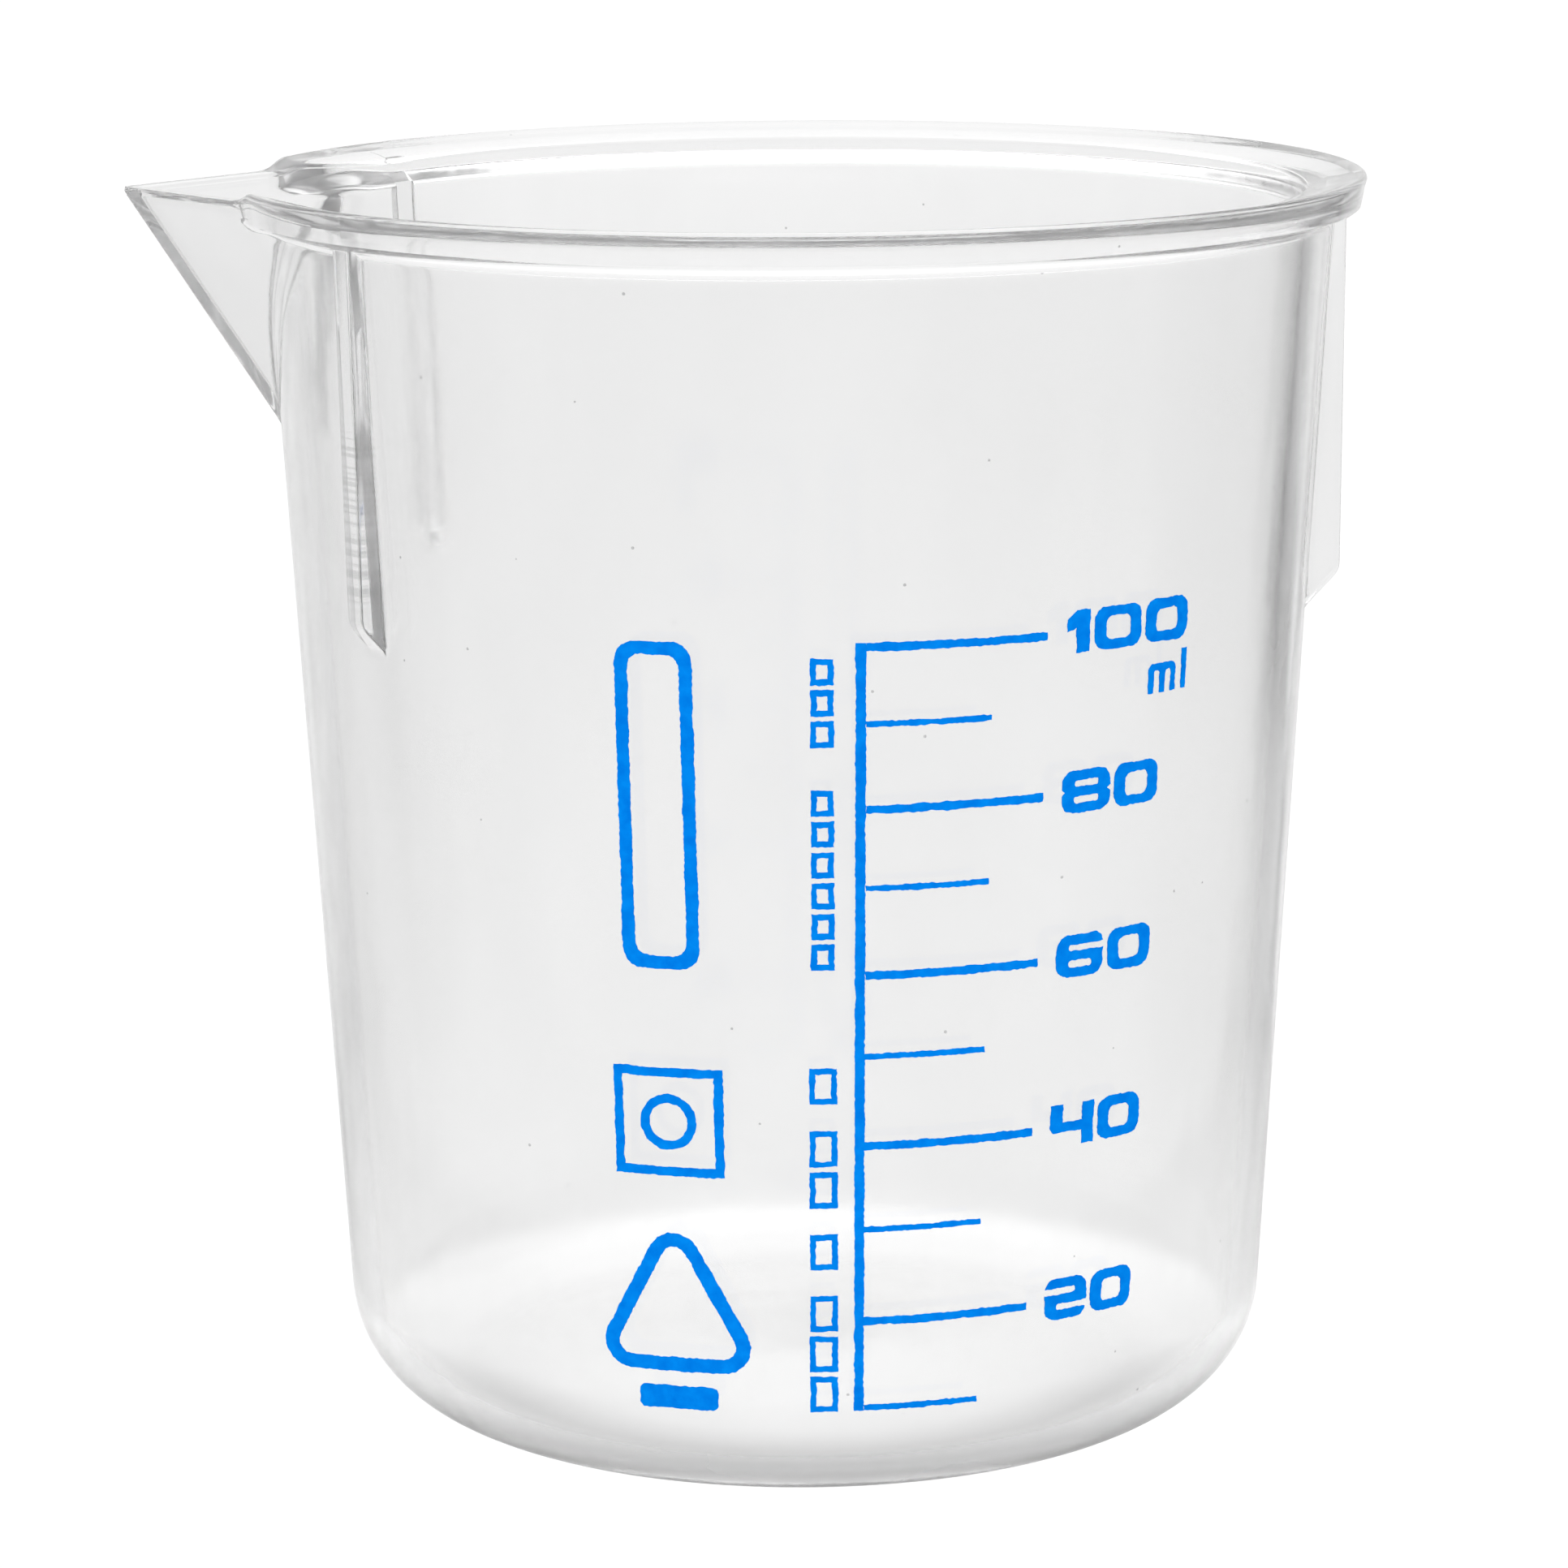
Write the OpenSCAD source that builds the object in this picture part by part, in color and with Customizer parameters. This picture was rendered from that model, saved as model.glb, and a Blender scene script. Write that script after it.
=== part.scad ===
// Squat 100 ml beaker: one clear moulding with a screen-printed volume scale.
// The origin is on the beaker's axis at its foot, +Z is up, the spout points
// along -X and the scale is printed on the -Y side. Azimuths are in degrees,
// counted from +X towards +Y. Lengths are in millimetres.

/* [Vessel] */
// Height from the foot to the top edge of the rim
height = 70.5; // [69:0.5:74]
// Outer radius of the wall, carried up to the rim's height
wall_top_r = 30.05; // [29:0.05:30.2]
// Outer radius of the wall, carried down to the foot plane
wall_foot_r = 25.95; // [25:0.05:27]
// Thickness of the side wall
wall_t = 1.6; // [1.2:0.1:2]
// Thickness of the floor
floor_t = 1.6; // [1.2:0.1:2.5]
// Outer radius of the rounded corner between floor and wall
corner_r = 7; // [5:0.5:8]
// Radius at which the underside starts to rise towards its middle
recess_r = 17.8; // [12:0.1:18]
// How much the middle of the underside is raised
recess_depth = 0.3; // [0.1:0.05:0.6]

/* [Rim] */
// Outer radius of the flange at its top edge
rim_r = 31.8; // [31.4:0.1:32.5]
// Height of the flange's outer face
rim_face_h = 1.8; // [1.4:0.1:2.2]
// How much the outer face leans in towards its lower edge
rim_face_lean = 0.32; // [0.1:0.02:0.5]
// How far the inner edge of the top face lies below the outer edge
rim_dish = 0.64; // [0.2:0.02:0.8]
// Rounding of the flange's top outer edge
rim_edge_r = 0.28; // [0.15:0.01:0.4]
// Height of the sloping underside between the outer face and the fillet
rim_under_h = 0.45; // [0.3:0.05:0.6]
// Radius of the fillet between the wall and the underside
rim_fillet_r = 0.55; // [0.4:0.05:0.7]

/* [Spout] */
// Distance from the beaker's axis to the spout's tip
spout_reach = 38.05; // [36:0.05:39]
// Height of the spout's tip
spout_tip_z = 69.9; // [69:0.1:69.9]
// Height at which the keel's straight line reaches the wall's outer face
spout_root_z = 56.3; // [54:0.1:58]
// Half the angle between the spout's two flat sides, seen from above
spout_half_angle = 49.7; // [48:0.1:51]
// Thickness of the spout's sides
spout_wall_t = 1; // [0.8:0.1:1.3]
// Rounding of the spout's tip
spout_tip_r = 0.6; // [0.4:0.1:0.8]

/* [Fins] */
// Thickness of each stacking fin
fin_t = 1.6; // [1.2:0.1:2]
// Outer radius of the fin opposite the spout, at the rim
rear_fin_top_r = 30.77; // [30.6:0.01:30.9]
// Outer radius of the fin opposite the spout, at its lower end
rear_fin_low_r = 30.62; // [30.4:0.01:30.7]
// Height at which the rear fin's straight edge ends
rear_fin_low_z = 47.7; // [44:0.1:50]
// Azimuth of the two side fins, either side of the spout
side_fin_azimuth = 143; // [135:1:147]
// Outer radius of the side fins at the rim
side_fin_top_r = 30.5; // [30.3:0.01:30.7]
// Outer radius of the side fins at their lower end
side_fin_low_r = 30.05; // [29.8:0.01:30.2]
// Height at which the side fins' straight edge ends
side_fin_low_z = 47.9; // [44:0.1:50]
// Slope of the chamfer under each fin, from the horizontal
fin_chamfer_angle = 47; // [40:1:55]
// Rounding of the corner between a fin's edge and its chamfer
fin_corner_r = 0.9; // [0.3:0.1:1.5]

/* [Print] */
// Thickness of the printed ink
ink_t = 0.08; // [0.06:0.01:0.12]
// Azimuth of the scale's upright line, at its left edge
spine_azimuth = -84.35; // [-88:0.05:-80]
// Angular width of the upright line
spine_angle = 1.1; // [0.8:0.05:1.5]
// Azimuth at which the long graduation lines end
major_end_azimuth = -63.3; // [-66:0.1:-62.5]
// Azimuth at which the short graduation lines end
minor_end_azimuth = -69.5; // [-72:0.1:-67]
// Thickness of the long graduation lines
major_line_t = 0.45; // [0.35:0.01:0.6]
// Thickness of the short graduation lines
minor_line_t = 0.32; // [0.25:0.01:0.4]
// How far the print sits above (or below) the exact fill heights
print_shift_z = -1.1; // [-1.2:0.1:0.5]
// How far the short lines sit above their exact fill heights, beyond that
minor_lift_z = 0.2; // [-0.2:0.05:0.4]
// Azimuth of the numerals' left edge
numeral_azimuth = -60.9; // [-62:0.1:-58]
// Height of the numerals
numeral_h = 2.35; // [2.2:0.05:2.6]
// Angular width of a full-width digit
digit_angle = 6.3; // [5.5:0.1:6.5]
// Angular gap between digits
digit_gap_angle = 0.6; // [0.4:0.05:1]
// Azimuth of the middle of the column of marks left of the scale
mark_azimuth = -105.4; // [-108:0.1:-103]
// Azimuth of the middle of the two rows of small boxes
box_row_azimuth = -87.85; // [-89:0.05:-87.5]

/* [Hidden] */
MAJOR_VOLUMES = [20, 40, 60, 80, 100];
MINOR_VOLUMES = [10, 30, 50, 70, 90];

CLEAR = [0.86, 0.9, 0.93, 0.35];
INK = [0.02, 0.45, 0.92];
ARC_STEPS = 12;
EDGE_STEPS = 6;
CORNER_STEPS = 5;
WALL_FACES = 180;
FILM_FACES = 360;
RING_FACES = 48;
TIP_FACES = 32;
APEX_FACES = 12;

// Wall: outer and inner radius at a height, and how far the wall leans
wall_lean = atan((wall_top_r - wall_foot_r) / height);
function outer_r(z) = wall_foot_r + z * tan(wall_lean);
function inner_r(z) = outer_r(z) - wall_t / cos(wall_lean);

// Centre radius of an arc that is tangent to a floor at floor_z and to a
// wall line that passes through wall_r at height 0
function corner_centre(wall_r, r, floor_z) =
    wall_r - (r - (floor_z + r) * sin(wall_lean)) / cos(wall_lean);

inner_corner_r = corner_r - wall_t;
inner_edge_z = height - rim_dish;
dish_angle = atan(rim_dish / (rim_r - inner_r(inner_edge_z)));
rim_face_angle = atan(rim_face_lean / rim_face_h);
rim_low_z = height - rim_face_h;
fillet_z = rim_low_z - rim_under_h - rim_fillet_r;
// Direction, from the fillet's centre, in which the fillet ends
fillet_end = 105;
// How far cuts and cut-away stock run past the surfaces they meet
above = 2;

// Fill heights: the cavity is a cone's frustum less its rounded corner
floor_inner_r = inner_r(floor_t);
// The part cut off a unit square by a quarter circle lies this far, on
// average, from the sides it keeps
cut_off_centre = 0.223;
corner_loss = (1 - PI / 4) * pow(inner_corner_r, 2) * 2 * PI
    * (floor_inner_r - cut_off_centre * inner_corner_r);
CUBIC_MM = 1000;
function fill_z(ml) =
    (pow(pow(floor_inner_r, 3)
         + 3 * tan(wall_lean) * (ml * CUBIC_MM + corner_loss) / PI, 1 / 3)
     - inner_r(0)) / tan(wall_lean);
function line_z(ml) = fill_z(ml) + print_shift_z;

// Points of an arc about a centre, and of a rounded rectangle centred on x
function arc_points(centre, r, from, to, steps) =
    [for (i = [0:steps]) let (a = from + (to - from) * i / steps)
        centre + r * [cos(a), sin(a)]];
function rounded_outline(w, h, r) = concat(
    arc_points([w / 2 - r, r], r, -90, 0, CORNER_STEPS),
    arc_points([w / 2 - r, h - r], r, 0, 90, CORNER_STEPS),
    arc_points([r - w / 2, h - r], r, 90, 180, CORNER_STEPS),
    arc_points([r - w / 2, r], r, 180, 270, CORNER_STEPS)
);

// ---- The clear moulding ----

// Solid inside the outer surface: foot, corner, wall, fillet and flange
module vessel_outside() {
    rotate_extrude($fn = WALL_FACES)
        polygon(concat(
            [[0, recess_depth],
             [recess_r, 0]],
            arc_points([corner_centre(wall_foot_r, corner_r, 0), corner_r],
                       corner_r, -90, -wall_lean, ARC_STEPS),
            arc_points([outer_r(fillet_z) + rim_fillet_r, fillet_z],
                       rim_fillet_r, 180, fillet_end, EDGE_STEPS),
            [[rim_r - rim_face_lean, rim_low_z]],
            arc_points([rim_r - rim_edge_r, height - rim_edge_r],
                       rim_edge_r, -rim_face_angle, 90 + dish_angle, EDGE_STEPS),
            [[inner_r(inner_edge_z) - above, inner_edge_z - above * tan(dish_angle)],
             [0, inner_edge_z - above * tan(dish_angle)]]
        ));
}

// The cup's cavity, carried on above the rim
module vessel_inside() {
    rotate_extrude($fn = WALL_FACES)
        polygon(concat(
            [[0, floor_t]],
            arc_points([corner_centre(inner_r(0), inner_corner_r, floor_t),
                        floor_t + inner_corner_r],
                       inner_corner_r, -90, -wall_lean, ARC_STEPS),
            [[inner_r(height + above), height + above],
             [0, height + above]]
        ));
}

// The spout is a three-sided cone that grows from a point on its keel line,
// inside the wall. Its level is the height of its open end.
apex_inset = 0.8;
keel_slope = (spout_tip_z - spout_root_z) / (spout_reach - outer_r(spout_root_z));
apex_r = outer_r(spout_root_z) - apex_inset;
apex_z = spout_root_z - apex_inset * keel_slope;
side_run = 22;
apex_ball_r = 0.2;
slice_h = 0.02;
module spout_cone(level) {
    growth = (level - apex_z) / (spout_tip_z - apex_z);
    tip_x = -apex_r - (spout_reach - spout_tip_r - apex_r) * growth;
    run = side_run * growth;
    hull() {
        translate([-apex_r, 0, apex_z])
            sphere(r = apex_ball_r, $fn = APEX_FACES);
        translate([tip_x, 0, level - slice_h])
            cylinder(r = spout_tip_r, h = slice_h, $fn = TIP_FACES);
        for (side = [-1, 1])
            translate([tip_x + run * cos(spout_half_angle),
                       side * run * sin(spout_half_angle), level - slice_h])
                cylinder(r = spout_tip_r, h = slice_h, $fn = TIP_FACES);
    }
}

// Shifting the same cone inwards leaves sides of the wanted thickness
side_normal = cross(
    [-(spout_reach - apex_r), 0, spout_tip_z - apex_z],
    [cos(spout_half_angle), sin(spout_half_angle), 0]
);
spout_inset = spout_wall_t * norm(side_normal) / abs(side_normal[0]);
module spout_inside() {
    translate([spout_inset, 0, 0])
        spout_cone(height + above);
}

// A flat fin from the rim's underside down to a chamfer that meets the wall
fin_root = 0.6;
module fin(azimuth, top_r, low_r, low_z) {
    chamfer_h = (low_r - outer_r(low_z) + fin_root) * tan(fin_chamfer_angle);
    top_z = rim_low_z - rim_under_h / 2;
    edge_lean = atan((top_r - low_r) / (top_z - low_z));
    corner_run = fin_corner_r * tan((90 - fin_chamfer_angle - edge_lean) / 2);
    corner_middle = [low_r, low_z] + corner_run * [sin(edge_lean), cos(edge_lean)]
        + fin_corner_r * [-cos(edge_lean), sin(edge_lean)];
    rotate([0, 0, azimuth])
        translate([0, fin_t / 2, 0])
            rotate([90, 0, 0])
                linear_extrude(fin_t)
                    polygon(concat(
                        [[outer_r(low_z) - fin_root, low_z - chamfer_h]],
                        arc_points(corner_middle, fin_corner_r,
                                   fin_chamfer_angle - 90, -edge_lean, CORNER_STEPS),
                        [[top_r, top_z],
                         [outer_r(top_z) - fin_root, top_z]]
                    ));
}

module beaker_body() {
    color(CLEAR)
        difference() {
            union() {
                vessel_outside();
                spout_cone(spout_tip_z);
                fin(0, rear_fin_top_r, rear_fin_low_r, rear_fin_low_z);
                for (side = [-1, 1])
                    fin(side * side_fin_azimuth, side_fin_top_r, side_fin_low_r, side_fin_low_z);
            }
            vessel_inside();
            spout_inside();
        }
}

// ---- The blue print: thin films on the outside of the wall ----

// A film-thick shell around the wall between two heights
module film(low_z, high_z, from = 0, angle = 360) {
    rotate([0, 0, from])
        rotate_extrude(angle = angle, $fn = FILM_FACES)
            polygon([
                [outer_r(low_z), low_z],
                [outer_r(low_z) + ink_t, low_z],
                [outer_r(high_z) + ink_t, high_z],
                [outer_r(high_z), high_z]
            ]);
}

// Sends a flat outline, centred on x and starting at y = 0, outwards
// through the wall at an azimuth and a height
module outwards(azimuth, z) {
    rotate([0, 0, azimuth])
        translate([wall_foot_r / 2, 0, z])
            rotate([90, 0, 90])
                linear_extrude(wall_foot_r)
                    children();
}

// Keeps only the part of the children that lies in the film
film_margin = 0.5;
module in_film(low_z, high_z) {
    color(INK)
        intersection() {
            film(low_z - film_margin, high_z + film_margin);
            union()
                children();
        }
}

// Length on the wall of an angle, at a height
function arc_length(angle, z) = angle * PI / 180 * outer_r(z);

module scale_spine() {
    color(INK)
        film(line_z(10) + minor_lift_z - minor_line_t / 2, line_z(100) + major_line_t / 2,
             spine_azimuth, spine_angle);
}

module graduation(z, end_azimuth, thickness) {
    start = spine_azimuth + spine_angle;
    color(INK)
        film(z - thickness / 2, z + thickness / 2, start, end_azimuth - start);
}

// Digits are squarish: a rounded block w wide with slots cut into it
level_stroke = 0.54;
upright_stroke = 0.76;
slot_h = (numeral_h - 3 * level_stroke) / 2;
upper_slot_y = numeral_h - level_stroke - slot_h;
outer_round = 0.7;
inner_round = 0.15;
zero_inner_round = 0.35;

module block(w) {
    polygon(rounded_outline(w, numeral_h, outer_round));
}

module slot(x0, x1, y0, y1) {
    translate([(x0 + x1) / 2, y0])
        polygon(rounded_outline(x1 - x0, y1 - y0, inner_round));
}

module digit_0(w) {
    difference() {
        block(w);
        translate([0, level_stroke])
            polygon(rounded_outline(w - 2 * upright_stroke, numeral_h - 2 * level_stroke,
                                    zero_inner_round));
    }
}

module digit_1(w) {
    stem_w = 0.83;
    flag_h = 1.15;
    flag_drop = 0.5;
    flag_rise = 0.2;
    polygon([
        [w / 2 - stem_w, 0],
        [w / 2, 0],
        [w / 2, numeral_h],
        [w / 2 - stem_w, numeral_h],
        [-w / 2, numeral_h - flag_drop],
        [-w / 2, numeral_h - flag_h],
        [w / 2 - stem_w, numeral_h - flag_h + flag_rise]
    ]);
}

module digit_2(w) {
    difference() {
        block(w);
        slot(-w, w / 2 - upright_stroke, upper_slot_y, upper_slot_y + slot_h);
        slot(upright_stroke - w / 2, w, level_stroke, level_stroke + slot_h);
    }
}

module digit_4(w) {
    bar_y = 0.8;
    corner = 0.3;
    translate([w / 2 - upright_stroke, 0])
        square([upright_stroke, numeral_h]);
    polygon(concat(
        arc_points([corner - w / 2, bar_y + corner], corner, 180, 270, CORNER_STEPS),
        [[(w - upright_stroke) / 2, bar_y],
         [(w - upright_stroke) / 2, bar_y + level_stroke],
         [upright_stroke - w / 2, bar_y + level_stroke],
         [upright_stroke - w / 2, numeral_h],
         [-w / 2, numeral_h]]
    ));
}

module digit_6(w) {
    difference() {
        block(w);
        slot(upright_stroke - w / 2, w, upper_slot_y, upper_slot_y + slot_h);
        slot(upright_stroke - w / 2, w / 2 - upright_stroke, level_stroke, level_stroke + slot_h);
    }
}

module digit_8(w) {
    waist = 0.18;
    difference() {
        block(w);
        for (y = [level_stroke, upper_slot_y])
            slot(upright_stroke - w / 2, w / 2 - upright_stroke, y, y + slot_h);
        for (side = [-1, 1])
            translate([side * w / 2, numeral_h / 2])
                rotate(45)
                    square(waist * sqrt(2), center = true);
    }
}

module digit(figure, w) {
    if (figure == 0) digit_0(w);
    if (figure == 1) digit_1(w);
    if (figure == 2) digit_2(w);
    if (figure == 4) digit_4(w);
    if (figure == 6) digit_6(w);
    if (figure == 8) digit_8(w);
}

// The figures of a volume, and where each one starts: a 1 is much narrower
// than the others, and a 2 and a 4 a little
one_share = 0.45;
slim_share = 0.94;
one_angle = one_share * digit_angle;
slim_angle = slim_share * digit_angle;
function figures(ml) = ml == 100 ? [1, 0, 0] : [ml / 10, 0];
function figure_angle(figure) =
    figure == 1 ? one_angle : figure == 2 || figure == 4 ? slim_angle : digit_angle;
function figure_start(list, i) =
    i == 0 ? 0 : figure_start(list, i - 1) + figure_angle(list[i - 1]) + digit_gap_angle;

numeral_lift = 0.08;
module numeral(ml) {
    list = figures(ml);
    low_z = line_z(ml) - numeral_h / 2 + numeral_lift;
    in_film(low_z, low_z + numeral_h)
        for (i = [0:len(list) - 1])
            outwards(numeral_azimuth + figure_start(list, i) + figure_angle(list[i]) / 2, low_z)
                digit(list[i], arc_length(figure_angle(list[i]), line_z(ml)));
}

// The letters "ml" under the highest numeral: an m of two round-topped
// arches that share a leg, and an l
unit_azimuth = -46.9;
unit_drop = 3.9;
unit_h = 2.2;
unit_x_height = 1.62;
unit_stroke = 0.37;
unit_pitch = 0.83;
unit_round = 0.35;
module unit_arch() {
    w = unit_pitch + unit_stroke;
    difference() {
        translate([0, -unit_round])
            polygon(rounded_outline(w, unit_x_height + unit_round, unit_round));
        translate([0, -unit_round])
            polygon(rounded_outline(w - 2 * unit_stroke,
                                    unit_x_height + unit_round - unit_stroke, inner_round));
        translate([-w, -2 * unit_round])
            square([2 * w, 2 * unit_round]);
    }
}

module unit_mark() {
    low_z = line_z(100) - unit_drop;
    in_film(low_z, low_z + unit_h)
        outwards(unit_azimuth, low_z) {
            translate([-unit_pitch, 0])
                unit_arch();
            unit_arch();
            translate([1.5 * unit_pitch - unit_stroke / 2, 0])
                square([unit_stroke, unit_h]);
        }
}

// A blank, round-cornered panel to write on
panel_low_z = 31;
panel_high_z = 48.8;
panel_angle = 8.6;
panel_line_t = 0.7;
panel_round = 1.1;
panel_turn = -0.3;
module write_on_panel() {
    w = arc_length(panel_angle, (panel_low_z + panel_high_z) / 2);
    h = panel_high_z - panel_low_z;
    in_film(panel_low_z, panel_high_z)
        outwards(mark_azimuth + panel_turn, panel_low_z)
            difference() {
                polygon(rounded_outline(w, h, panel_round));
                translate([0, panel_line_t])
                    polygon(rounded_outline(w - 2 * panel_line_t, h - 2 * panel_line_t,
                                            panel_round - panel_line_t / 2));
            }
}

// A square frame around a plain ring
square_low_z = 19.45;
square_h = 6.05;
square_line_t = 0.5;
ring_r = 1.55;
module square_mark() {
    in_film(square_low_z, square_low_z + square_h)
        outwards(mark_azimuth, square_low_z) {
            difference() {
                translate([-square_h / 2, 0])
                    square(square_h);
                translate([square_line_t - square_h / 2, square_line_t])
                    square(square_h - 2 * square_line_t);
            }
            translate([0, square_h / 2])
                difference() {
                    circle(r = ring_r, $fn = RING_FACES);
                    circle(r = ring_r - square_line_t, $fn = RING_FACES);
                }
        }
}

// A closed triangle with round corners
triangle_low_z = 8.35;
triangle_w = 8.2;
triangle_h = 7.9;
triangle_line_t = 0.8;
triangle_round = 1.5;
triangle_turn = 0.2;
function triangle_outline(shrink) =
    let (
        r = triangle_round - shrink,
        low = triangle_round,
        x = triangle_w / 2 - triangle_round,
        high = triangle_h - triangle_round,
        slope = atan2(high - low, x)
    )
    concat(
        arc_points([x, low], r, -90, 90 - slope, CORNER_STEPS),
        arc_points([0, high], r, 90 - slope, 90 + slope, CORNER_STEPS),
        arc_points([-x, low], r, 90 + slope, 270, CORNER_STEPS)
    );
module triangle_mark() {
    in_film(triangle_low_z, triangle_low_z + triangle_h)
        outwards(mark_azimuth + triangle_turn, triangle_low_z)
            difference() {
                polygon(triangle_outline(0));
                polygon(triangle_outline(triangle_line_t));
            }
}

// A short solid bar under the triangle
bar_low_z = 6.2;
bar_w = 4.4;
bar_h = 1.3;
bar_round = 0.3;
bar_turn = 0.3;
module short_bar() {
    in_film(bar_low_z, bar_low_z + bar_h)
        outwards(mark_azimuth + bar_turn, bar_low_z)
            polygon(rounded_outline(bar_w, bar_h, bar_round));
}

// A row of small open boxes beside the scale's upright line. Its groups are
// the numbers of boxes that stand close together, from the lowest up.
box_line_t = 0.32;
module box_row(low_z, groups, w, h, pitch, group_gap) {
    first = [for (i = 0, n = 0; i < len(groups); n = n + groups[i], i = i + 1) n];
    count = first[len(groups) - 1] + groups[len(groups) - 1];
    top_z = low_z + count * pitch + (len(groups) - 1) * group_gap;
    in_film(low_z, top_z)
        for (g = [0:len(groups) - 1], i = [0:groups[g] - 1])
            outwards(box_row_azimuth, low_z + (first[g] + i) * pitch + g * group_gap)
                difference() {
                    translate([-w / 2, 0])
                        square([w, h]);
                    translate([box_line_t - w / 2, box_line_t])
                        square([w - 2 * box_line_t, h - 2 * box_line_t]);
                }
}

upper_row_z = 31.1;
upper_groups = [6, 3];
upper_box_w = 1.22;
upper_box_h = 1.4;
upper_pitch = 1.68;
upper_gap = 2.05;
module upper_box_row() {
    box_row(upper_row_z, upper_groups, upper_box_w, upper_box_h, upper_pitch, upper_gap);
}

lower_row_z = 6.25;
lower_groups = [3, 1, 2, 1];
lower_box_w = 1.5;
lower_box_h = 2;
lower_pitch = 2.3;
lower_gap = 1.2;
module lower_box_row() {
    box_row(lower_row_z, lower_groups, lower_box_w, lower_box_h, lower_pitch, lower_gap);
}

beaker_body();
scale_spine();
for (v = MAJOR_VOLUMES)
    graduation(line_z(v), major_end_azimuth, major_line_t);
for (v = MINOR_VOLUMES)
    graduation(line_z(v) + minor_lift_z, minor_end_azimuth, minor_line_t);
for (v = MAJOR_VOLUMES)
    numeral(v);
unit_mark();
write_on_panel();
square_mark();
triangle_mark();
short_bar();
upper_box_row();
lower_box_row();
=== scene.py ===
"""Looks of a squat clear plastic beaker with a blue printed scale.

The vessel is one moulding: a radial grid whose outside, top edge and inside follow the
CAD profile, with the spout and the fins pushed out of it. Each printed mark is the outline
of its CAD node, with the ragged edge that a printing screen leaves, laid on the wall.
Lengths in this file are in millimetres until a mesh is made.
"""

import math

import bmesh
import bpy
from mathutils import Matrix, Vector, noise
from mathutils.geometry import delaunay_2d_cdt


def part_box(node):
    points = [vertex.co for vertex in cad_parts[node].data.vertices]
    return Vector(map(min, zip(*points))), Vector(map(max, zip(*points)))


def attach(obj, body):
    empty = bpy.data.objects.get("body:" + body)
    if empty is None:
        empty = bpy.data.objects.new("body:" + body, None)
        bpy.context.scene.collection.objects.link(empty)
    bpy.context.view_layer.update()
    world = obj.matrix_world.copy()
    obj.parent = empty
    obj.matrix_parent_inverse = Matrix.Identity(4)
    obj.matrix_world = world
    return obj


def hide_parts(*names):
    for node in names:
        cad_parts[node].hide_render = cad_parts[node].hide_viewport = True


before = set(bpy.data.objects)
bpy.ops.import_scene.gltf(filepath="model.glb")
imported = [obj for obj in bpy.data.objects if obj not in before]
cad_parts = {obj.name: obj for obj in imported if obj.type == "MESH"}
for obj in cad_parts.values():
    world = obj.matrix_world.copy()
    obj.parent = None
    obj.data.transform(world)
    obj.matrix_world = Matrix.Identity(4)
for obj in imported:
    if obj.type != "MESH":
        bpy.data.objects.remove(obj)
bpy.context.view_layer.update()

MM = 0.001

# ---- The vessel's dimensions, as in the CAD ----

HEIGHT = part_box("beaker_body")[1][2] / MM
WALL_FOOT_R = 25.95
WALL_TOP_R = 30.05
WALL_T = 1.6
FLOOR_T = 1.6
CORNER_R = 7.0
RECESS_R = 17.8
RECESS_DEPTH = 0.3

RIM_R = 31.8
RIM_FACE_H = 1.8
RIM_FACE_LEAN = 0.32
RIM_DISH = 0.64
RIM_EDGE_R = 0.28
RIM_UNDER_H = 0.45
RIM_FILLET_R = 0.55
INNER_EDGE_R = 0.3

SPOUT_REACH = 38.05
SPOUT_TIP_Z = 69.9
SPOUT_ROOT_Z = 56.3
SPOUT_HALF_ANGLE = 49.7
SPOUT_WALL_T = 1.0
SPOUT_AZIMUTH = 180.0

FIN_T = 1.6
FIN_CHAMFER = math.tan(math.radians(47))
FIN_CORNER_ROUND = 0.4
FIN_FILLET = 0.05
# height at which the fins' thickness is turned into an angle
FIN_WIDTH_Z = 58
# azimuth, outer radius at the rim and at the low end, height of the low end
FINS = (
    (0.0, 30.77, 30.62, 47.7),
    (143.0, 30.5, 30.05, 47.9),
    (217.0, 30.5, 30.05, 47.9),
)

LEAN = math.atan((WALL_TOP_R - WALL_FOOT_R) / HEIGHT)
RIM_LOW_Z = HEIGHT - RIM_FACE_H
FILLET_Z = RIM_LOW_Z - RIM_UNDER_H - RIM_FILLET_R
INNER_EDGE_Z = HEIGHT - RIM_DISH


def outer_r(z):
    return WALL_FOOT_R + z * math.tan(LEAN)


def inner_r(z):
    return outer_r(z) - WALL_T / math.cos(LEAN)


FIN_HALF_ANGLE = math.degrees(math.asin(FIN_T / 2 / outer_r(FIN_WIDTH_Z)))


def corner_centre(wall_r, r, floor_z):
    return wall_r - (r - (floor_z + r) * math.sin(LEAN)) / math.cos(LEAN)


def spread(start, end, steps):
    """Evenly spaced values, both ends included."""
    return [start + (end - start) * i / steps for i in range(steps + 1)]


def angle_from(middle, azimuth):
    """The angle from one azimuth to another, between -180 and 180 degrees."""
    return (azimuth - middle + 180) % 360 - 180


def arc(centre_r, centre_z, r, start, end, steps):
    """Points (r, z) along an arc, both ends included."""
    return [
        (centre_r + r * math.cos(math.radians(t)), centre_z + r * math.sin(math.radians(t)))
        for t in spread(start, end, steps)
    ]


def smooth_max(a, b, k):
    h = max(k - abs(a - b), 0.0) / k
    return max(a, b) + h * h * k / 4


def smooth_min(a, b, k):
    return -smooth_max(-a, -b, k)


def smooth_step(low, high, x):
    t = min(max((x - low) / (high - low), 0.0), 1.0)
    return t * t * (3 - 2 * t)


# ---- Spout: two flat sides that meet in a keel ----

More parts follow.
